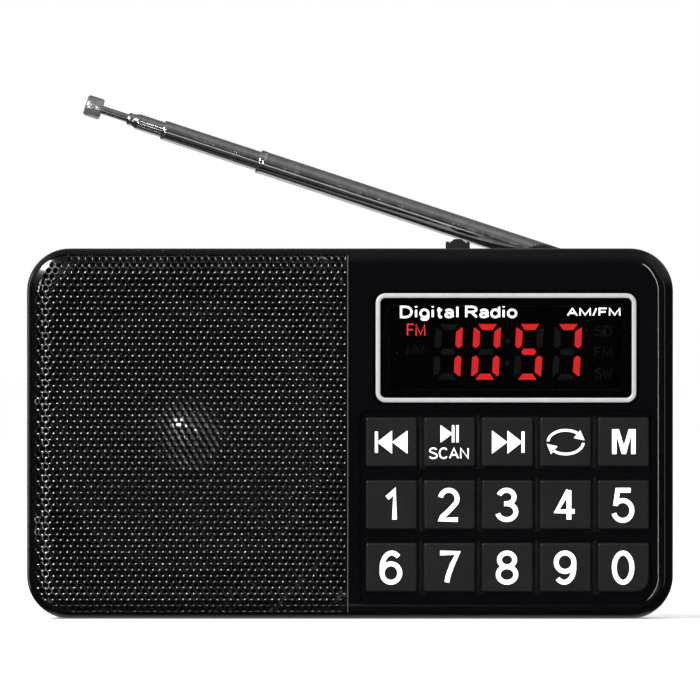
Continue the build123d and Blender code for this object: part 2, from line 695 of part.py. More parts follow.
def main():
    save("front_shell", front_shell())
    save("rear_shell", rear_shell())
    save("speaker_grille", speaker_grille())
    save("display_bezel", display_bezel())
    save("display_lens", display_lens())
    save("led_display", led_display())
    lit, unlit = led_segments()
    save("led_segments_lit", lit)
    save("led_segments_unlit", unlit)
    for row, names in enumerate(KEY_NAMES):
        for column, name in enumerate(names):
            save(name, key(row, column))
    save("keypad_mat", keypad_mat())
    save("snap_domes", snap_domes())
    save("main_board", main_board())
    save("radio_chip", leaded_chip(10, 54, 6.5, 5.0, 1.3, 8))
    save("control_chip", leaded_chip(24, 55, 8.5, 6.0, 1.4, 10))
    save("amplifier_chip", leaded_chip(38, 53, 5.0, 4.0, 1.5, 4))
    save("capacitors", capacitors())
    save("ferrite_bar", ferrite_bar())
    save("ferrite_coil", ferrite_coil())
    save("speaker_frame", speaker_frame())
    save("speaker_top_plate", speaker_top_plate())
    save("speaker_magnet", speaker_magnet())
    save("speaker_yoke", speaker_yoke())
    save("voice_coil", voice_coil())
    save("speaker_cone", speaker_cone())
    save("speaker_dust_cap", speaker_dust_cap())
    save("speaker_surround", speaker_surround())
    save("speaker_spider", speaker_spider())
    save("volume_potentiometer", volume_potentiometer())
    save("volume_wheel", volume_wheel())
    save("power_switch", power_switch())
    save("power_slider", power_slider())
    save("usb_socket", usb_socket())
    save("card_slot", card_slot())
    save("headphone_jack", headphone_jack())
    save("charge_socket", charge_socket())
    save("battery", battery())
    save("battery_contacts", battery_contacts())
    save("battery_door", battery_door())
    save("case_screws", case_screws())
    save("antenna_base", antenna_base())
    save("antenna_pin", antenna_pin())
    save("antenna_outer_tube", antenna_outer_tube())
    save("antenna_middle_tube", tube_between(*MIDDLE_TUBE))
    save("antenna_inner_tube", antenna_inner_tube())
    save("antenna_rod", antenna_rod())
    save("antenna_tip", antenna_tip())


main()
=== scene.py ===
import json
import math

import bmesh
import bpy
import numpy as np
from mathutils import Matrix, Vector
from mathutils.geometry import delaunay_2d_cdt


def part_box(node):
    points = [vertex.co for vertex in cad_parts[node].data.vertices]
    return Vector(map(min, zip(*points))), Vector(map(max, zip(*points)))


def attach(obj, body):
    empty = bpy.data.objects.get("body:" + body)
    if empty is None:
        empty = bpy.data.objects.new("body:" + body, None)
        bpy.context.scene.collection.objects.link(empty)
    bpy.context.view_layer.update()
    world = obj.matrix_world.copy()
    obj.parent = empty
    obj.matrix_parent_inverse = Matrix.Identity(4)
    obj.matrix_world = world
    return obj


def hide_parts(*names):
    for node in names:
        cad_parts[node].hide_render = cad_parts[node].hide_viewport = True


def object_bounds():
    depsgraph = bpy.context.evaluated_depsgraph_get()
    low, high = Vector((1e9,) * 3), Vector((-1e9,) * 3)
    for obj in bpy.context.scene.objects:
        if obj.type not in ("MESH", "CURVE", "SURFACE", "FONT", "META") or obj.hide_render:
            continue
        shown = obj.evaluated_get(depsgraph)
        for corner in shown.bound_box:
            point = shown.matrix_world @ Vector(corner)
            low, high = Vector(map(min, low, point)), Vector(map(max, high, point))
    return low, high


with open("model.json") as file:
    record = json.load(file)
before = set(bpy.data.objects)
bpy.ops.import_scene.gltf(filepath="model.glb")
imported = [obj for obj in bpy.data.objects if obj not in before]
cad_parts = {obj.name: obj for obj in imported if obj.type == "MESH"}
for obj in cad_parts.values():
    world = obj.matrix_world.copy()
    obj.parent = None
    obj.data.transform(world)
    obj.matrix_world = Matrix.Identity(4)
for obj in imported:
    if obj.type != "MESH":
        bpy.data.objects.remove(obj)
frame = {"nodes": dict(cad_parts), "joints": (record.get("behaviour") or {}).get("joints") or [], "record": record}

CAD_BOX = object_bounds()
MM = 0.001
PRINT_T = 0.03
PRINT_STEP = 0.12
MITRE_LIMIT = 0.72
CASE = "case"


# ---------------------------------------------------------------- mesh helpers

def link_object(name, data):
    holder = bpy.data.objects.new(name, data)
    bpy.context.scene.collection.objects.link(holder)
    return holder


def add_mesh(name, verts, faces, material, body, sharp_angle=35.0):
    """Links a mesh given in millimetres and makes it ride on a body."""
    mesh = bpy.data.meshes.new(name)
    mesh.from_pydata([tuple(c * MM for c in v) for v in verts], [], faces)
    mesh.validate()
    work = bmesh.new()
    work.from_mesh(mesh)
    bmesh.ops.recalc_face_normals(work, faces=work.faces)
    work.to_mesh(mesh)
    work.free()
    mesh.polygons.foreach_set("use_smooth", [True] * len(mesh.polygons))
    mesh.set_sharp_from_angle(angle=math.radians(sharp_angle))
    mesh.materials.append(material)
    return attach(link_object(name, mesh), body)


def loft(name, loops, material, body, ring=False, sharp_angle=35.0):
    """Skin over loops of equal length. A ring joins the last loop to the first, anything else is capped."""
    count = len(loops[0])
    verts = [v for loop in loops for v in loop]
    faces = []
    pairs = list(zip(range(len(loops)), range(1, len(loops))))
    if ring:
        pairs.append((len(loops) - 1, 0))
    for low, high in pairs:
        for index in range(count):
            after = (index + 1) % count
            faces.append((low * count + index, low * count + after,
                          high * count + after, high * count + index))
    if not ring:
        faces.append(tuple(range(count)))
        faces.append(tuple(range((len(loops) - 1) * count, len(loops) * count)))
    return add_mesh(name, verts, faces, material, body, sharp_angle)


def lathe(name, profile, origin, axis, material, body, segments=72, ring=False, sharp_angle=35.0):
    """Turned piece. The profile holds (station along the axis, radius)."""
    axis = Vector(axis).normalized()
    side = axis.orthogonal().normalized()
    up = axis.cross(side)
    loops = []
    for station, radius in profile:
        centre = Vector(origin) + axis * station
        loop = []
        for index in range(segments):
            angle = 2 * math.pi * index / segments
            loop.append(tuple(centre + (side * math.cos(angle) + up * math.sin(angle)) * radius))
        loops.append(loop)
    return loft(name, loops, material, body, ring, sharp_angle)


def rounded_rectangle(x, z, radius, y, steps=10):
    """Closed loop of points (x, y, z), going round from the lower right corner."""
    points = []
    corners = ((x[1] - radius, z[0] + radius, -90), (x[1] - radius, z[1] - radius, 0),
               (x[0] + radius, z[1] - radius, 90), (x[0] + radius, z[0] + radius, 180))
    for centre_x, centre_z, start in corners:
        for step in range(steps + 1):
            angle = math.radians(start + 90 * step / steps)
            points.append((centre_x + radius * math.cos(angle), y, centre_z + radius * math.sin(angle)))
    return points


def grow(span, by):
    return (span[0] - by, span[1] + by)


def span_of(node, axis):
    low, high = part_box(node)
    return (low[axis] / MM, high[axis] / MM)


def plates(name, outlines, y, material, body, thickness=PRINT_T):
    """Thin printed or moulded shapes: each outline of (x, z) points is raised from the plane y."""
    work = bmesh.new()
    for outline in outlines:
        lower = [work.verts.new((px * MM, y * MM, pz * MM)) for px, pz in outline]
        face = work.faces.new(lower)
        moved = bmesh.ops.extrude_face_region(work, geom=[face])
        raised = [g for g in moved["geom"] if isinstance(g, bmesh.types.BMVert)]
        bmesh.ops.translate(work, verts=raised, vec=(0, -thickness * MM, 0))
    bmesh.ops.triangulate(work, faces=work.faces)
    bmesh.ops.recalc_face_normals(work, faces=work.faces)
    mesh = bpy.data.meshes.new(name)
    work.to_mesh(mesh)
    work.free()
    mesh.materials.append(material)
    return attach(link_object(name, mesh), body)


def ribbon(points, width, closed=False):
    """Outline pairs (left, right) of a band of even width along a path, with mitred corners."""
    count = len(points)
    left, right = [], []
    for index in range(count):
        here = Vector(points[index])
        before = Vector(points[index - 1]) if index or closed else None
        after = Vector(points[(index + 1) % count]) if index < count - 1 or closed else None
        into = (here - before).normalized() if before is not None else (after - here).normalized()
        out = (after - here).normalized() if after is not None else into
        normal = Vector((-into.y, into.x)) + Vector((-out.y, out.x))
        normal.normalize()
        reach = width / 2 / max(MITRE_LIMIT, normal.dot(Vector((-into.y, into.x))))
        left.append(tuple(here + normal * reach))
        right.append(tuple(here - normal * reach))
    return left, right


def bands(name, paths, width, y, material, body):
    """Printed bands: each path is (points, closed). Every band is a hair thicker than the one before."""
    verts, faces = [], []
    for order, (points, closed) in enumerate(paths):
        left, right = ribbon(points, width, closed)
        front = y - PRINT_T * (1 + PRINT_STEP * order)
        base = len(verts)
        count = len(points)
        for depth in (front, y):
            for px, pz in left + right:
                verts.append((px, depth, pz))
        steps = count if closed else count - 1
        for k in range(steps):
            a, b = base + k, base + (k + 1) % count
            faces.append((a, b, b + count, a + count))
            faces.append((a + 2 * count, a + 3 * count, b + 3 * count, b + 2 * count))
            faces.append((a, a + 2 * count, b + 2 * count, b))
            faces.append((a + count, b + count, b + 3 * count, a + 3 * count))
        if not closed:
            for k in (base, base + count - 1):
                faces.append((k, k + count, k + 3 * count, k + 2 * count))
    return add_mesh(name, verts, faces, material, body)


def arc(centre, radii, start, end, steps=None):
    """Points on part of an ellipse, angles in degrees."""
    steps = steps or max(6, int(abs(end - start) / 9))
    points = []
    for step in range(steps + 1):
        angle = math.radians(start + (end - start) * step / steps)
        points.append((centre[0] + radii[0] * math.cos(angle), centre[1] + radii[1] * math.sin(angle)))
    return points


def oval(centre, radii):
    return arc(centre, radii, 0, 360)[:-1]


def sign(width, *strokes):
    """Width of a sign against its height, and its open strokes in a unit box."""
    return width, [(list(points), False) for points in strokes]


def ringed(width, ring, *strokes):
    """A sign that starts with a closed ring."""
    return width, [(ring, True)] + sign(width, *strokes)[1]


BOWL = oval((0.5, 0.36), (0.5, 0.36))
DIGIT_WIDTH = 0.69
SIGNS = {
    "0": ringed(DIGIT_WIDTH, oval((0.5, 0.5), (0.5, 0.5))),
    "1": sign(0.42, [(0.1, 0.74), (0.5, 0.85), (0.86, 1.0), (0.86, 0)]),
    "2": sign(DIGIT_WIDTH, arc((0.49, 0.71), (0.47, 0.29), 170, -32)
              + [(0.45, 0.27), (0.12, 0.1), (0.03, 0), (1, 0)]),
    "3": sign(DIGIT_WIDTH, arc((0.47, 0.77), (0.43, 0.23), 163, -88),
              [(0.34, 0.54)] + arc((0.48, 0.27), (0.52, 0.27), 92, -165)),
    "4": sign(DIGIT_WIDTH, [(0.70, 1), (0.02, 0.28), (1.04, 0.28)], [(0.72, 0), (0.72, 1)]),
    "5": sign(DIGIT_WIDTH, [(0.93, 1), (0.2, 1), (0.07, 0.47)], arc((0.48, 0.31), (0.52, 0.34), 142, -163)),
    "6": ringed(DIGIT_WIDTH, oval((0.5, 0.315), (0.5, 0.315)),
                arc((0.55, 0.5), (0.55, 0.5), 48, 180) + [(0.0, 0.33)]),
    "7": sign(0.68, [(0.0, 1), (1, 1), (0.68, 0.6), (0.45, 0.22), (0.38, 0)]),
    "8": (DIGIT_WIDTH, [(oval((0.5, 0.765), (0.43, 0.235)), True), (oval((0.5, 0.265), (0.5, 0.265)), True)]),
    "9": ringed(DIGIT_WIDTH, oval((0.5, 0.685), (0.5, 0.315)),
                arc((0.45, 0.5), (0.55, 0.5), 228, 360) + [(1.0, 0.67)]),
    "M": sign(0.95, [(0, 0), (0, 1), (0.5, 0.08), (1, 1), (1, 0)]),
    "S": sign(0.78, arc((0.5, 0.76), (0.45, 0.24), 22, 205) + arc((0.5, 0.25), (0.5, 0.25), 40, -160)),
    "C": sign(0.8, arc((0.54, 0.5), (0.54, 0.5), 42, 318)),
    "A": sign(0.88, [(0, 0), (0.5, 1), (1, 0)], [(0.2, 0.33), (0.8, 0.33)]),
    "N": sign(0.78, [(0, 0), (0, 1), (1, 0), (1, 1)]),
    "D": ringed(0.82, [(0, 0.5), (0, 0), (0.4, 0)] + arc((0.4, 0.5), (0.6, 0.5), -80, 80)
                + [(0.4, 1), (0, 1)]),
    "R": sign(0.82, [(0, 0), (0, 1), (0.5, 1)] + arc((0.5, 0.75), (0.45, 0.25), 80, -80)
              + [(0.5, 0.5), (0, 0.5)], [(0.45, 0.5), (1, 0)]),
    "F": sign(0.68, [(0, 0), (0, 1), (1, 1)], [(0, 0.52), (0.85, 0.52)]),
    "W": sign(1.1, [(0, 1), (0.25, 0), (0.5, 0.9), (0.75, 0), (1, 1)]),
    "/": sign(0.3, [(0, 0), (1, 1)]),
    "i": sign(0.14, [(0.5, 0), (0.5, 0.7)], [(0.5, 0.94), (0.5, 1.06)]),
    "l": sign(0.14, [(0.5, 0), (0.5, 1)]),
    "t": sign(0.36, [(0.4, 0.92), (0.4, 0.12), (0.6, 0), (1, 0.01)], [(0, 0.68), (1, 0.68)]),
    "o": ringed(0.62, BOWL),
    "a": (0.58, [(arc((0.48, 0.46), (0.47, 0.26), 155, 0) + [(0.95, 0)], False),
                 (oval((0.46, 0.2), (0.44, 0.2)), True)]),
    "d": ringed(0.60, BOWL, [(1, 1), (1, 0)]),
    "g": ringed(0.60, BOWL, [(1, 0.55), (1, 0.02)] + arc((0.5, 0.0), (0.5, 0.26), 0, -150)),
}
SPACE_WIDTH = 0.34


def lettering(name, text, centre, size, stroke, y, material, body, anchor=0.5, gap=0.28):
    """Printed text of a given width and cap height in millimetres; anchor 0 starts it at the centre point."""
    natural = 0.0
    for letter in text:
        natural += SPACE_WIDTH if letter == " " else SIGNS[letter][0] + gap
    natural -= gap
    stretch = (size[0] - stroke) / natural
    tall = size[1] - stroke
    start_x = centre[0] - anchor * size[0] + stroke / 2
    base_z = centre[1] - tall / 2
    paths = []
    for letter in text:
        if letter == " ":
            start_x += SPACE_WIDTH * stretch
            continue
        width, strokes = SIGNS[letter]
        for points, closed in strokes:
            placed = [(start_x + px * width * stretch, base_z + pz * tall) for px, pz in points]
            paths.append((placed, closed))
        start_x += (width + gap) * stretch
    return bands(name, paths, stroke, y, material, body)


# ---------------------------------------------------------------- materials

GRAIN_RELIEF = 0.02


def surface(name, color, rough, metallic=0.0, rough_vary=0.05, tone_vary=0.1, grain=3000.0, bump=0.0,
            blotch=120.0, stretch=(1, 1, 1), **sockets):
    """Principled material whose tone and roughness drift over the surface, with its grain in relief."""
    material = bpy.data.materials.new(name)
    material.use_nodes = True
    nodes = material.node_tree.nodes
    links = material.node_tree.links
    shader = nodes["Principled BSDF"]
    place = nodes.new("ShaderNodeTexCoord")
    scaled = nodes.new("ShaderNodeMapping")
    scaled.inputs["Scale"].default_value = stretch
    links.new(place.outputs["Object"], scaled.inputs["Vector"])
    wide = nodes.new("ShaderNodeTexNoise")
    wide.inputs["Scale"].default_value = blotch
    wide.inputs["Detail"].default_value = 4.0
    links.new(scaled.outputs["Vector"], wide.inputs["Vector"])
    tone = nodes.new("ShaderNodeMix")
    tone.data_type = "RGBA"
    tone.inputs["A"].default_value = tuple(c * (1 - tone_vary) for c in color) + (1,)
    tone.inputs["B"].default_value = tuple(min(1.0, c * (1 + tone_vary)) for c in color) + (1,)
    links.new(wide.outputs["Fac"], tone.inputs["Factor"])
    links.new(tone.outputs["Result"], shader.inputs["Base Color"])
    ramp = nodes.new("ShaderNodeMapRange")
    ramp.inputs["From Min"].default_value = 0.25
    ramp.inputs["From Max"].default_value = 0.75
    ramp.inputs["To Min"].default_value = max(0.02, rough - rough_vary)
    ramp.inputs["To Max"].default_value = min(1.0, rough + rough_vary)
    links.new(wide.outputs["Fac"], ramp.inputs["Value"])
    links.new(ramp.outputs["Result"], shader.inputs["Roughness"])
    if bump:
        fine = nodes.new("ShaderNodeTexNoise")
        fine.inputs["Scale"].default_value = grain
        fine.inputs["Detail"].default_value = 2.0
        links.new(scaled.outputs["Vector"], fine.inputs["Vector"])
        relief = nodes.new("ShaderNodeBump")
        relief.inputs["Strength"].default_value = bump
        relief.inputs["Distance"].default_value = GRAIN_RELIEF * MM
        links.new(fine.outputs["Fac"], relief.inputs["Height"])
        links.new(relief.outputs["Normal"], shader.inputs["Normal"])
    shader.inputs["Metallic"].default_value = metallic
    for socket, value in sockets.items():
        shader.inputs[socket.replace("_", " ")].default_value = value
    return material


def flecked(material, color, scale, share):
    """Adds small bright flecks, as in metallic paint, to a material made by surface()."""
    nodes = material.node_tree.nodes
    links = material.node_tree.links
    shader = nodes["Principled BSDF"]
    place = next(n for n in nodes if n.type == "TEX_COORD")
    cells = nodes.new("ShaderNodeTexVoronoi")
    cells.inputs["Scale"].default_value = scale
    links.new(place.outputs["Object"], cells.inputs["Vector"])
    pick = nodes.new("ShaderNodeSeparateColor")
    links.new(cells.outputs["Color"], pick.inputs["Color"])
    step = nodes.new("ShaderNodeMapRange")
    step.inputs["From Min"].default_value = 1 - share
    step.inputs["From Max"].default_value = 1 - share * 0.5
    links.new(pick.outputs["Red"], step.inputs["Value"])
    mix = nodes.new("ShaderNodeMix")
    mix.data_type = "RGBA"
    mix.inputs["B"].default_value = tuple(color) + (1,)
    source = shader.inputs["Base Color"].links[0].from_socket
    links.new(source, mix.inputs["A"])
    links.new(step.outputs["Result"], mix.inputs["Factor"])
    links.new(mix.outputs["Result"], shader.inputs["Base Color"])
    return material


def glowing(material, color, strength):
    shader = material.node_tree.nodes["Principled BSDF"]
    shader.inputs["Emission Color"].default_value = tuple(color) + (1,)
    shader.inputs["Emission Strength"].default_value = strength
    return material


GLOSS = surface("gloss_black_shell", (0.0009, 0.0010, 0.0014), 0.07, rough_vary=0.02, bump=0.02,
                grain=900, blotch=60)
# Painted highlight: the seam lip is the gloss shell's own plastic, painted much lighter so that it shows as a
# bright line.
LIP_HIGHLIGHT = surface("panel_lip_painted_highlight", (0.035, 0.036, 0.04), 0.25, rough_vary=0.05, bump=0.1, grain=2500)
SATIN = surface("satin_black_shell", (0.010, 0.010, 0.012), 0.42, rough_vary=0.06, bump=0.5,
                grain=4200, blotch=90)
GRILLE = surface("grille_enamel", (0.0007, 0.0007, 0.0008), 0.10, rough_vary=0.03, bump=0.04,
                 grain=2600, blotch=150, Specular_IOR_Level=0.9)
SILVER = flecked(surface("bezel_silver_paint", (0.28, 0.29, 0.285), 0.45, metallic=0.3, rough_vary=0.08,
                         bump=0.4, grain=5200, blotch=700, tone_vary=0.08), (0.30, 0.31, 0.30), 5200, 0.30)
KEY = surface("key_plastic", (0.0024, 0.0026, 0.0030), 0.43, rough_vary=0.05, bump=0.5,
              grain=5200, blotch=220, tone_vary=0.2, Specular_IOR_Level=0.2)
PRINT = surface("white_print", (0.74, 0.74, 0.74), 0.55, rough_vary=0.04, tone_vary=0.03, bump=0.15,
                grain=3000)
LENS = surface("smoked_lens", (0.0005, 0.0005, 0.0005), 0.05, rough_vary=0.01, blotch=50, Alpha=0.25,
               Specular_IOR_Level=0.2)
FACE = surface("display_face", (0.0006, 0.0006, 0.0006), 0.7, bump=0.3, grain=3000, Specular_IOR_Level=0.0)
LIT = glowing(surface("lit_segments", (0.08, 0.002, 0.002), 0.5, bump=0.1, Specular_IOR_Level=0.1),
              (1.0, 0.022, 0.026), 1.08)
DIM = surface("dim_segments", (0.006, 0.0052, 0.004), 0.6, bump=0.1, Specular_IOR_Level=0.1)
LIT_LABEL = glowing(surface("lit_label", (0.5, 0.01, 0.01), 0.5, bump=0.1), (0.85, 0.012, 0.014), 1.0)
CHROME = surface("antenna_chrome", (0.80, 0.81, 0.83), 0.10, metallic=1.0, rough_vary=0.06, tone_vary=0.30,
                 bump=0.55, grain=420, blotch=700)
TIP_METAL = surface("antenna_tip_nickel", (0.40, 0.40, 0.38), 0.24, metallic=0.9, rough_vary=0.06,
                    tone_vary=0.04, bump=0.15, grain=1500, blotch=400)
STEEL = surface("nickel_steel", (0.55, 0.55, 0.56), 0.32, metallic=1.0, rough_vary=0.08, bump=0.2, grain=2400)
ZINC = surface("black_zinc_plating", (0.030, 0.030, 0.029), 0.42, metallic=1.0, rough_vary=0.10, bump=0.3,
               grain=1500)
BLACK_SCREW = surface("black_screws", (0.10, 0.10, 0.11), 0.35, metallic=1.0, bump=0.2, grain=3000)
GOLD = surface("contact_gold", (0.83, 0.58, 0.22), 0.28, metallic=1.0, bump=0.1, grain=3000)
COPPER = surface("enamelled_copper", (0.62, 0.24, 0.09), 0.3, metallic=1.0, bump=0.8, grain=1400,
                 stretch=(8, 1, 1))
FERRITE = surface("ferrite", (0.045, 0.045, 0.05), 0.55, bump=0.5, grain=1800)
BOARD = surface("board_mask", (0.012, 0.12, 0.045), 0.30, bump=0.25, grain=700, blotch=300, tone_vary=0.25)
CHIP = surface("chip_epoxy", (0.018, 0.018, 0.02), 0.5, bump=0.4, grain=3500)
SILICONE = surface("grey_silicone", (0.22, 0.22, 0.23), 0.65, bump=0.3, grain=2500)
CONE = surface("cone_paper", (0.0012, 0.0012, 0.0012), 0.7, bump=0.9, grain=900, Specular_IOR_Level=0.1)
CAP = surface("dust_cap_film", (0.55, 0.55, 0.57), 0.24, metallic=1.0, rough_vary=0.04, bump=0.1, grain=800)
RUBBER = surface("surround_rubber", (0.003, 0.003, 0.003), 0.6, bump=0.2, grain=2000, Specular_IOR_Level=0.15)
SPIDER = surface("spider_cloth", (0.50, 0.33, 0.13), 0.8, bump=0.9, grain=1600)
CONTROL = surface("control_black", (0.003, 0.003, 0.0034), 0.34, bump=0.3, grain=3500, Specular_IOR_Level=0.3)
CELL = surface("cell_wrap", (0.26, 0.28, 0.32), 0.35, bump=0.1, grain=900, tone_vary=0.06)
CAN = surface("capacitor_can", (0.55, 0.56, 0.58), 0.3, metallic=1.0, bump=0.2, grain=1800)

SLOT_MATERIALS = {
    "gloss_black": GLOSS, "satin_black": SATIN, "grille_black": GRILLE, "silver_paint": SILVER,
    "smoked_window": LENS, "display_black": FACE, "lit_red": LIT, "dark_segment": DIM,
    "grey_silicone": SILICONE, "dome_steel": STEEL, "green_board": BOARD, "chip_black": CHIP,
    "can_aluminium": CAN, "ferrite_grey": FERRITE, "copper_wire": COPPER, "zinc_steel": ZINC,
    "surround_rubber": RUBBER, "spider_cloth": SPIDER, "cone_paper": CONE, "dust_cap_film": CAP,
    "control_black": CONTROL, "socket_steel": STEEL, "socket_black": CONTROL, "battery_wrap": CELL,
    "contact_gold": GOLD, "screw_steel": BLACK_SCREW, "antenna_chrome": CHROME, "key_grey": KEY,
}


def dress_nodes():
    for entry in frame["record"]["subparts"]:
        mesh = frame["nodes"][entry["node"]].data
        mesh.materials.clear()
        mesh.materials.append(SLOT_MATERIALS[entry["material_slot"]])


# ---------------------------------------------------------------- perforated grille

GRILLE_X = grow(span_of("speaker_grille", 0), 0.05)
GRILLE_Z = grow(span_of("speaker_grille", 2), 0.05)
FRONT = span_of("speaker_grille", 1)[0]
GRILLE_BACK = span_of("speaker_grille", 1)[1]
GRILLE_CORNER = 7.3
RIGHT_CORNER = 0.5
PITCH = 1.354
ROWS = 60
COLUMNS = 60
CELL_REACH = 0.79
RIGHT_GAP = 0.12
LEAST_BORDER = 0.004
OUTLINE_STEP = 1.3
FLANGE_T = 0.06
ROW_PITCH = (GRILLE_Z[1] - GRILLE_Z[0] - 2 * CELL_REACH) / (ROWS - 1)
SHEET = 0.5
BEND_WIDTH = 5.0
BEND_RADIUS = 13.0
HOLE_RINGS = ((0.600, 0.0), (0.585, 0.003), (0.450, 0.071), (0.415, 0.110), (0.390, SHEET))
HOLE_POINTS = 12


def edge_distance(points):
    """Distance in from the left, top and bottom edges; the right edge isn't bent, so it is left out."""
    far_right = GRILLE_X[1] + 100
    centre = np.array([(GRILLE_X[0] + far_right) / 2, (GRILLE_Z[0] + GRILLE_Z[1]) / 2])
    half = np.array([(far_right - GRILLE_X[0]) / 2, (GRILLE_Z[1] - GRILLE_Z[0]) / 2])
    q = np.abs(points - centre) - (half - GRILLE_CORNER)
    outside = np.linalg.norm(np.maximum(q, 0), axis=1)
    return GRILLE_CORNER - outside - np.minimum(q.max(axis=1), 0)


def bent_depth(points):
    into = np.clip(BEND_WIDTH - edge_distance(points), 0, BEND_WIDTH + 1)
    return BEND_RADIUS - np.sqrt(BEND_RADIUS**2 - into**2)


def on_sheet(points, depth):
    """Places flat (x, z) points on the bent sheet, a given depth below its outer skin."""
    points = np.asarray(points, float)
    step = 0.01
    base = bent_depth(points)
    slope_x = (bent_depth(points + [step, 0]) - base) / step
    slope_z = (bent_depth(points + [0, step]) - base) / step
    inward = np.stack([-slope_x, np.ones(len(points)), -slope_z], axis=1)
    inward /= np.linalg.norm(inward, axis=1)[:, None]
    skin = np.stack([points[:, 0], FRONT + base, points[:, 1]], axis=1)
    return skin + inward * np.asarray(depth).reshape(-1, 1)


def grille_outline(inset):
    """Outline of the sheet with large corners on the left and small ones on the right."""
    x = grow(GRILLE_X, -inset)
    z = grow(GRILLE_Z, -inset)
    rounds = []
    corners = ((x[1], z[0], RIGHT_CORNER, -90, 4), (x[1], z[1], RIGHT_CORNER, 0, 4),
               (x[0], z[1], GRILLE_CORNER, 90, 14), (x[0], z[0], GRILLE_CORNER, 180, 14))
    for corner_x, corner_z, radius, start, steps in corners:
        radius = radius - inset
        centre_x = corner_x - math.copysign(radius, corner_x - sum(x) / 2)
        centre_z = corner_z - math.copysign(radius, corner_z - sum(z) / 2)
        rounds.append(arc((centre_x, centre_z), (radius, radius), start, start + 90, steps))
    outline = []
    for index, corner in enumerate(rounds):
        outline.extend(corner)
        start = Vector(corner[-1])
        end = Vector(rounds[(index + 1) % 4][0])
        count = int((end - start).length / OUTLINE_STEP)
        outline.extend(tuple(start.lerp(end, (k + 1) / (count + 1))) for k in range(count))
    return outline


def cell_corners(x, z):
    """The six corners of the cell round a hole, from the upper right one."""
    wide, low, high = PITCH / 2, ROW_PITCH / 3, ROW_PITCH * 2 / 3
    offsets = ((wide, low), (0, high), (-wide, low), (-wide, -low), (0, -high), (wide, -low))
    return [(x + dx, z + dz) for dx, dz in offsets]


def hole_centres():
    """Every lattice point whose whole cell lies on the sheet."""
    found = []
    for row in range(ROWS):
        z = GRILLE_Z[1] - CELL_REACH - row * ROW_PITCH
        for column in range(COLUMNS):
            x = GRILLE_X[1] - PITCH / 2 - RIGHT_GAP - (column + 0.5 * (row % 2)) * PITCH
            cell = np.array(cell_corners(x, z))
            if cell[:, 0].min() > GRILLE_X[0] and edge_distance(cell).min() > LEAST_BORDER:
                found.append((x, z))
    return found


def grille_part(name, cells, strip, outline):
    """One closed part of the sheet: cells with lipped holes, a border strip and the turned-back flange."""
    flat, depth, faces, lookup = [], [], [], {}

    def vertex(kind, x, z, below):
        tag = (kind, round(x, 4), round(z, 4), round(below, 4))
        if tag not in lookup:
            lookup[tag] = len(flat)
            flat.append((x, z))
            depth.append(below)
        return lookup[tag]

    edges = {}

    def cover(corners):
        """A face on the outer skin and its twin on the back, counting edges so that rims can be walled."""
        faces.append(tuple(vertex(*c) for c in corners))
        twin = []
        for kind, x, z, below in corners:
            if kind == "hole":
                scale = HOLE_RINGS[-1][0] / HOLE_RINGS[0][0]
                centre = centre_of[(round(x, 4), round(z, 4))]
                x = centre[0] + (x - centre[0]) * scale
                z = centre[1] + (z - centre[1]) * scale
            twin.append(vertex(kind, x, z, SHEET))
        faces.append(tuple(reversed(twin)))
        for a, b in zip(corners, corners[1:] + corners[:1]):
            if a[0] != "hole" and b[0] != "hole":
                key = frozenset((a[:3], b[:3]))
                edges.setdefault(key, []).append((a, b))

    centre_of = {}
    for x, z in cells:
        rings = []
        for radius, below in HOLE_RINGS:
            ring = []
            for k in range(HOLE_POINTS):
                angle = 2 * math.pi * k / HOLE_POINTS
                ring.append(("hole", x + radius * math.cos(angle), z + radius * math.sin(angle), below))
            rings.append(ring)
        for corner in rings[0]:
            centre_of[(round(corner[1], 4), round(corner[2], 4))] = (x, z)
        cell = [("rim", round(cx, 3), round(cz, 3), 0.0) for cx, cz in cell_corners(x, z)]
        outer = rings[0]
        for k in range(6):
            a, b = cell[k], cell[(k + 1) % 6]
            m = 2 * k + 1
            before, middle, after = (outer[(m + step) % HOLE_POINTS] for step in range(3))
            cover([a, b, middle])
            cover([a, middle, before])
            cover([b, after, middle])
        for low, high in zip(rings, rings[1:]):
            for k in range(HOLE_POINTS):
                after = (k + 1) % HOLE_POINTS
                faces.append(tuple(vertex(*c) for c in (low[k], low[after], high[after], high[k])))
    for triangle in strip:
        cover([("rim", round(x, 3), round(z, 3), 0.0) for x, z in triangle])

    border = {(round(x, 3), round(z, 3)): index for index, (x, z) in enumerate(outline)}
    inset = grille_outline(FLANGE_T)
    extra = []
    for uses in edges.values():
        if len(uses) != 1:
            continue
        a, b = uses[0]
        ends = [border.get((c[1], c[2])) for c in (a, b)]
        skin = [vertex(*c) for c in (a, b)]
        back = [vertex(c[0], c[1], c[2], SHEET) for c in (a, b)]
        if None in ends:
            faces.append((skin[0], skin[1], back[1], back[0]))
        else:
            extra.append((skin, back, ends))
    verts = [tuple(v) for v in on_sheet(flat, depth)]
    flange = {}

    def flange_vertex(kind, index):
        if (kind, index) not in flange:
            x, z = outline[index] if kind == "outer" else inset[index]
            flange[(kind, index)] = len(verts)
            verts.append((x, GRILLE_BACK, z))
        return flange[(kind, index)]

    for skin, back, ends in extra:
        outer = [flange_vertex("outer", i) for i in ends]
        inner = [flange_vertex("inner", i) for i in ends]
        faces.append((skin[0], skin[1], outer[1], outer[0]))
        faces.append((outer[0], outer[1], inner[1], inner[0]))
        faces.append((inner[0], inner[1], back[1], back[0]))
    return add_mesh(name, verts, faces, GRILLE, CASE, 50.0)


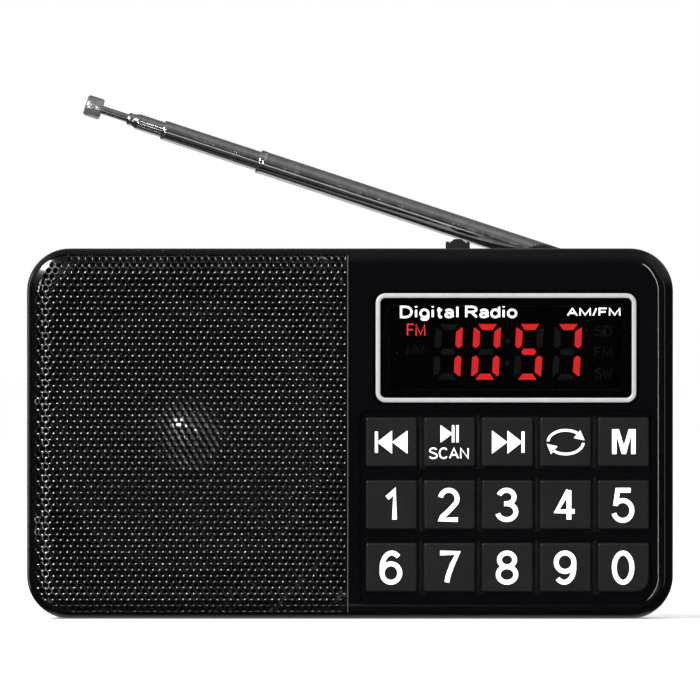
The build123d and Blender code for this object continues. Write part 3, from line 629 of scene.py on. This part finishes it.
def inside_cell(centres, point):
    """True if the point lies in the hexagon of the nearest hole."""
    regular = np.array([1.0, PITCH * math.sqrt(3) / 2 / ROW_PITCH])
    offsets = (centres - point) * regular
    offset = offsets[np.argmin(np.linalg.norm(offsets, axis=1))]
    for angle in (0, 60, 120):
        axis = np.array([math.cos(math.radians(angle)), math.sin(math.radians(angle))])
        if abs(offset @ axis) > PITCH / 2 - 1e-4:
            return False
    return True


def inside_outline(outline, point):
    inside = False
    for (x0, z0), (x1, z1) in zip(outline, outline[1:] + outline[:1]):
        if (z0 > point[1]) != (z1 > point[1]):
            if point[0] < x0 + (point[1] - z0) / (z1 - z0) * (x1 - x0):
                inside = not inside
    return inside


def make_grille():
    cells = hole_centres()
    outline = grille_outline(0)
    points, index_of, links = [], {}, {}

    def add_point(x, z):
        tag = (round(x, 3), round(z, 3))
        if tag not in index_of:
            index_of[tag] = len(points)
            points.append(tag)
        return index_of[tag]

    for x, z in cells:
        ring = [add_point(cx, cz) for cx, cz in cell_corners(x, z)]
        for a, b in zip(ring, ring[1:] + ring[:1]):
            links.setdefault(frozenset((a, b)), []).append((a, b))
    zigzag = [uses[0] for uses in links.values() if len(uses) == 1]
    rim = [add_point(x, z) for x, z in outline]
    constraints = zigzag + list(zip(rim, rim[1:] + rim[:1]))
    used = sorted({i for edge in constraints for i in edge})
    local = {old: new for new, old in enumerate(used)}
    result = delaunay_2d_cdt([Vector(points[i]) for i in used],
                             [(local[a], local[b]) for a, b in constraints], [], 0, 1e-5)
    corners, triangles = result[0], result[2]
    centres = np.array(cells)
    strip = []
    for triangle in triangles:
        places = [tuple(corners[i]) for i in triangle]
        middle = np.mean(places, axis=0)
        if not inside_cell(centres, middle) and inside_outline(outline, middle):
            strip.append(places)
    limits = (-math.inf, GRILLE_X[0] * 2 / 3, GRILLE_X[0] / 3, math.inf)
    for name, low, high in zip(("grille_left", "grille_middle", "grille_right"), limits, limits[1:]):
        third_cells = [c for c in cells if low <= c[0] < high]
        third_strip = [t for t in strip if low <= sum(p[0] for p in t) / 3 < high]
        piece = grille_part(name, third_cells, third_strip, outline)
        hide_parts("speaker_grille")


def make_seam_bead():
    """Rounded lip of the gloss panel where it meets the grille; its colour is a painted highlight line along the
    seam.
    """
    gap, radius, sunk, ends = 0.22, 0.11, 0.05, (1.3, 72.0)
    middle = (GRILLE_X[1] + gap, FRONT + sunk)
    profile = arc(middle, (radius, -radius), 0, 180, 12)
    loops = [[(px, py, z) for px, py in profile] for z in ends]
    loft("panel_lip", loops, LIP_HIGHLIGHT, CASE)


# ---------------------------------------------------------------- display and keys

def make_bezel():
    x, z = span_of("display_bezel", 0), span_of("display_bezel", 2)
    front, back = span_of("display_bezel", 1)
    rim, radius, bevel = 0.95, 2.0, 0.22
    cut = bevel * 0.3
    steps = ((0, back), (0, front + bevel), (cut, front + cut), (bevel, front),
             (rim - bevel, front), (rim - cut, front + cut), (rim, front + bevel), (rim, back))
    loops = [rounded_rectangle(grow(x, -inset), grow(z, -inset), radius - inset, y) for inset, y in steps]
    piece = loft("bezel_frame", loops, SILVER, CASE, ring=True, sharp_angle=40)
    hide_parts("display_bezel")


def make_display_print():
    x, z = span_of("display_lens", 0), span_of("display_lens", 2)
    lens, face = span_of("display_lens", 1)[0], span_of("led_display", 1)[0]
    left, right, top = x[0], x[1], z[1]
    text_z = top - 2.75
    title = lettering("display_title", "Digital Radio", (left + 3.85, text_z), (23.2, 2.45), 0.42,
                      lens, PRINT, CASE, anchor=0.0)
    band_names = lettering("display_bands", "AM/FM", (right - 2.2, text_z), (10.6, 1.7), 0.30,
                           lens, PRINT, CASE, anchor=1.0)
    label_left, label_right = left + 5.2, right - 7.3
    lit = lettering("display_fm_label", "FM", (label_left, top - 6.3), (3.7, 2.5), 0.30,
                    face, LIT_LABEL, CASE, anchor=0.0)
    for text, px, below in (("MW", label_left, 10.2), ("SD", label_right, 6.5), ("FM", label_right, 10.7),
                            ("SW", label_right, 14.9)):
        dim = lettering(f"display_dim_{text}_{int(px)}", text, (px, top - below), (3.5, 2.1), 0.3,
                        face, DIM, CASE, anchor=0.0)


def key_frame(name):
    """Centre (x, z) of a key and the plane of its face."""
    low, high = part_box(name)
    return (low.x + high.x) / 2 / MM, (low.z + high.z) / 2 / MM, low.y / MM


def triangle_mark(tip_x, base_x, centre_z, half_height):
    return [(tip_x, centre_z), (base_x, centre_z + half_height), (base_x, centre_z - half_height)]


def bar_mark(x0, x1, z0, z1):
    return [(x0, z0), (x1, z0), (x1, z1), (x0, z1)]


def arrow_arc(centre, size, start, end, width):
    """Part of an elliptical ring, angles in degrees."""
    outer = arc(centre, (size[0] + width / 2, size[1] + width / 2), start, end, 24)
    inner = arc(centre, (size[0] - width / 2, size[1] - width / 2), start, end, 24)
    return outer + inner[::-1]


def arrow_head(tip, direction, length, half_width):
    dx, dz = Vector(direction).normalized()
    base = (tip[0] - dx * length, tip[1] - dz * length)
    return [tip, (base[0] - dz * half_width, base[1] + dx * half_width),
            (base[0] + dz * half_width, base[1] - dx * half_width)]


def key_marks(name):
    """Outlines of the sign printed on a key of the top row."""
    x, z, _ = key_frame(name)
    tall, bar = 2.3, 2.1
    if name == "key_previous":
        return [bar_mark(x - 3.3, x - 2.7, z - bar, z + bar), triangle_mark(x - 2.85, x + 0.1, z, tall),
                triangle_mark(x + 0.1, x + 3.15, z, tall)]
    if name == "key_next":
        return [bar_mark(x + 2.75, x + 3.35, z - bar, z + bar), triangle_mark(x + 2.9, x - 0.05, z, tall),
                triangle_mark(x - 0.05, x - 3.1, z, tall)]
    if name == "key_play_scan":
        low, high = z - 0.05, z + 3.35
        return [triangle_mark(x + 0.6, x - 1.8, z + 1.65, 1.75), bar_mark(x + 0.45, x + 0.95, low, high),
                bar_mark(x + 1.3, x + 1.8, low, high)]
    radii, band = (3.5, 2.35), 0.52
    return [arrow_arc((x, z), radii, 176, 42, band), arrow_arc((x, z), radii, -4, -138, band),
            arrow_head((x + 3.75, z + 0.35), (0.75, -0.62), 1.95, 1.0),
            arrow_head((x - 3.75, z - 0.35), (-0.75, 0.62), 1.95, 1.0)]


def make_key_legends():
    for name in ("key_previous", "key_play_scan", "key_next", "key_repeat"):
        y = key_frame(name)[2]
        plates(f"sign_{name}", key_marks(name), y, PRINT, f"{name}_body")
    x, z, y = key_frame("key_play_scan")
    scan = lettering("legend_scan", "SCAN", (x - 0.15, z - 2.2), (7.95, 2.3), 0.31,
                     y, PRINT, "key_play_scan_body")
    x, z, y = key_frame("key_mode")
    outline = ((0, 0), (0, 1), (0.29, 1), (0.5, 0.34), (0.71, 1), (1, 1), (1, 0), (0.81, 0), (0.81, 0.77),
               (0.59, 0), (0.41, 0), (0.19, 0.77), (0.19, 0))
    letter = [(x - 2.3 + 4.66 * px, z - 2.36 + 4.92 * pz) for px, pz in outline]
    mode = plates("legend_mode", [letter], y, PRINT, "key_mode_body")
    for digit in range(10):
        name = f"key_{digit}"
        x, z, y = key_frame(name)
        width = 2.9 if digit == 1 else 4.45
        legend = lettering(f"legend_{digit}", str(digit), (x - 0.12, z), (width, 6.75), 0.95,
                           y, PRINT, f"{name}_body")


# ---------------------------------------------------------------- antenna

def joint(name):
    return next(j for j in frame["joints"] if j["name"] == name)


LEAST_RADIUS = 0.01


def make_antenna():
    """The thinner tubes, rod and cap with their rolled ends; profiles run outward from the hinge pin."""
    pin = Vector(joint("antenna_tilt")["pos_m"]) / MM
    axis = Vector(joint("antenna_middle_slide")["axis"])
    lip = [(64.9, 2.30), (65.1, 2.37), (65.9, 2.40), (66.2, 2.36), (66.34, 2.24), (66.36, 2.12), (66.3, 2.06),
           (65.6, 2.06)]
    middle = [(28.9, 1.65), (86.2, 1.65), (86.4, 1.72), (86.35, 1.85), (86.1, 1.95), (85.6, 2.0),
              (85.2, 1.975), (29.0, 1.975), (28.9, 1.9)]
    inner = [(37.7, 1.25), (91.0, 1.25), (91.8, 0.93), (93.5, 0.93), (93.7, 1.0), (93.65, 1.15), (93.3, 1.28),
             (92.9, 1.22), (92.4, 1.25), (91.8, 1.5), (91.4, 1.575), (37.8, 1.575), (37.7, 1.5)]
    rod = [(44.5, 0.0), (44.5, 1.1), (44.6, 1.18), (46.4, 1.18), (46.5, 0.85), (99.3, 0.85), (99.3, 0.0)]
    tip = [(99.1, 0.0), (99.1, 1.7), (99.2, 1.98), (99.45, 2.1), (102.0, 2.1), (102.3, 2.0), (102.5, 1.75),
           (102.5, 1.3), (102.42, 1.15), (102.42, 0.0)]
    for name, profile, body, node, ring, metal in (
        ("antenna_middle_sleeve", middle, "antenna_middle", "antenna_middle_tube", True, CHROME),
        ("antenna_inner_sleeve", inner, "antenna_inner", "antenna_inner_tube", True, CHROME),
        ("antenna_thin_rod", rod, "antenna_end", "antenna_rod", False, CHROME),
        ("antenna_cap", tip, "antenna_end", "antenna_tip", False, TIP_METAL),
    ):
        profile = [(station, max(radius, LEAST_RADIUS)) for station, radius in profile]
        piece = lathe(name, profile, pin, axis, metal, body, ring=ring)
        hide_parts(node)
    mouth = lathe("antenna_mouth_lip", lip, pin, axis, CHROME, "antenna_outer", ring=True)


# ---------------------------------------------------------------- stage, light, camera

def area_light(name, place, size, power):
    light = bpy.data.lights.new(name, "AREA")
    light.shape = "RECTANGLE"
    light.size, light.size_y = size
    light.energy = power
    lamp = link_object(name, light)
    lamp.location = place
    lamp.rotation_euler = (LIGHT_TARGET - Vector(place)).to_track_quat("-Z", "Y").to_euler()


def make_stage():
    mesh = bpy.data.meshes.new("floor")
    reach = 30.0
    corners = [(-reach, -reach, 0), (reach, -reach, 0), (reach, reach, 0), (-reach, reach, 0)]
    mesh.from_pydata(corners, [], [(0, 1, 2, 3)])
    paint = surface("floor_paint", (0.90, 0.90, 0.90), 0.9, tone_vary=0.01, blotch=2)
    mesh.materials.append(glowing(paint, (1, 1, 1), 0.15))
    floor = link_object("floor", mesh)
    floor.visible_glossy = False


# What reflections see: brightness by the angle up from straight ahead in degrees, negative below
CARDS = ((-180, 0.55), (-118, 0.55), (-104, 0.40), (-92, 0.03), (-60, 0.015), (-34, 0.05), (-17, 0.06),
         (-13, 0.65), (-9, 0.60), (-5, 0.02), (4, 0.02), (20, 0.09), (38, 0.13), (55, 0.22), (80, 0.20),
         (100, 0.13), (140, 0.14), (165, 0.20), (180, 0.12))


def make_world():
    """White surroundings for the eye and for diffuse light; reflections see dark cards and grey bands."""
    world = bpy.data.worlds.new("studio")
    bpy.context.scene.world = world
    world.use_nodes = True
    nodes = world.node_tree.nodes
    links = world.node_tree.links

    def figure(operation, *sources):
        node = nodes.new("ShaderNodeMath")
        node.operation = operation
        for socket, source in zip(node.inputs, sources):
            if isinstance(source, float):
                socket.default_value = source
            else:
                links.new(source, socket)
        return node.outputs[0]

    def spread(source, low, high, to_low=0.0, to_high=1.0):
        node = nodes.new("ShaderNodeMapRange")
        for name, value in (("From Min", low), ("From Max", high), ("To Min", to_low), ("To Max", to_high)):
            node.inputs[name].default_value = value
        links.new(source, node.inputs["Value"])
        return node.outputs["Result"]

    def blend(factor, first, second):
        node = nodes.new("ShaderNodeMix")
        node.data_type = "RGBA"
        links.new(factor, node.inputs["Factor"])
        links.new(second, node.inputs["B"])
        if first is None:
            node.inputs["A"].default_value = (1, 1, 1, 1)
        else:
            links.new(first, node.inputs["A"])
        return node.outputs["Result"]

    place = nodes.new("ShaderNodeTexCoord")
    split = nodes.new("ShaderNodeSeparateXYZ")
    links.new(place.outputs["Generated"], split.inputs["Vector"])
    ahead = figure("MULTIPLY", split.outputs["Y"], -1.0)
    angle = figure("ARCTAN2", split.outputs["Z"], ahead)
    cards = nodes.new("ShaderNodeValToRGB")
    ramp = cards.color_ramp
    while len(ramp.elements) < len(CARDS):
        ramp.elements.new(0.5)
    for element, (degrees, level) in zip(ramp.elements, CARDS):
        element.position = (degrees + 180) / 360
        element.color = (level, level, level, 1)
    links.new(spread(angle, -math.pi, math.pi), cards.inputs["Fac"])
    beside = spread(figure("ABSOLUTE", split.outputs["X"]), 0.34, 0.50)
    wall = spread(split.outputs["Z"], 0.10, 0.40, 0.03, 0.35)
    mirrored = blend(beside, cards.outputs["Color"], wall)
    path = nodes.new("ShaderNodeLightPath")
    seen = blend(path.outputs["Is Glossy Ray"], None, mirrored)
    links.new(seen, nodes["Background"].inputs["Color"])


LIGHT_TARGET = Vector((0, 0, 0.04))
LIGHTS = (
    ("key_upper_left", (-0.85, -1.15, 0.95), (0.42, 0.42), 52),
    ("strip_left_front", (-0.6, -1.5, 0.05), (0.03, 0.9), 2.2),
    ("strip_top_front", (-0.36, -1.5, 0.65), (0.6, 0.025), 0.9),
    ("strip_left_behind", (-1.1, 0.74, 0.1), (0.06, 0.9), 1),
    ("strip_right_front", (0.31, -1.5, 0.1), (0.03, 0.9), 1.9),
    ("strip_right", (1.2, -0.86, 0.05), (0.04, 0.8), 0.4),
)


def make_camera():
    distance, view_width, height = 4.0, 0.1386, 0.05327
    camera = bpy.data.cameras.new("camera")
    camera.sensor_width = 36.0
    camera.lens = camera.sensor_width * distance / view_width
    camera.clip_start = 0.01
    camera.clip_end = 200.0
    holder = link_object("camera", camera)
    holder.location = (0, CAD_BOX[0].y - distance, height)
    holder.rotation_euler = (math.pi / 2, 0, 0)
    bpy.context.scene.camera = holder


dress_nodes()
make_grille()
make_seam_bead()
make_bezel()
make_display_print()
make_key_legends()
make_antenna()
make_stage()
make_world()
for light_row in LIGHTS:
    area_light(*light_row)
make_camera()
bpy.context.scene.view_settings.view_transform = "Standard"
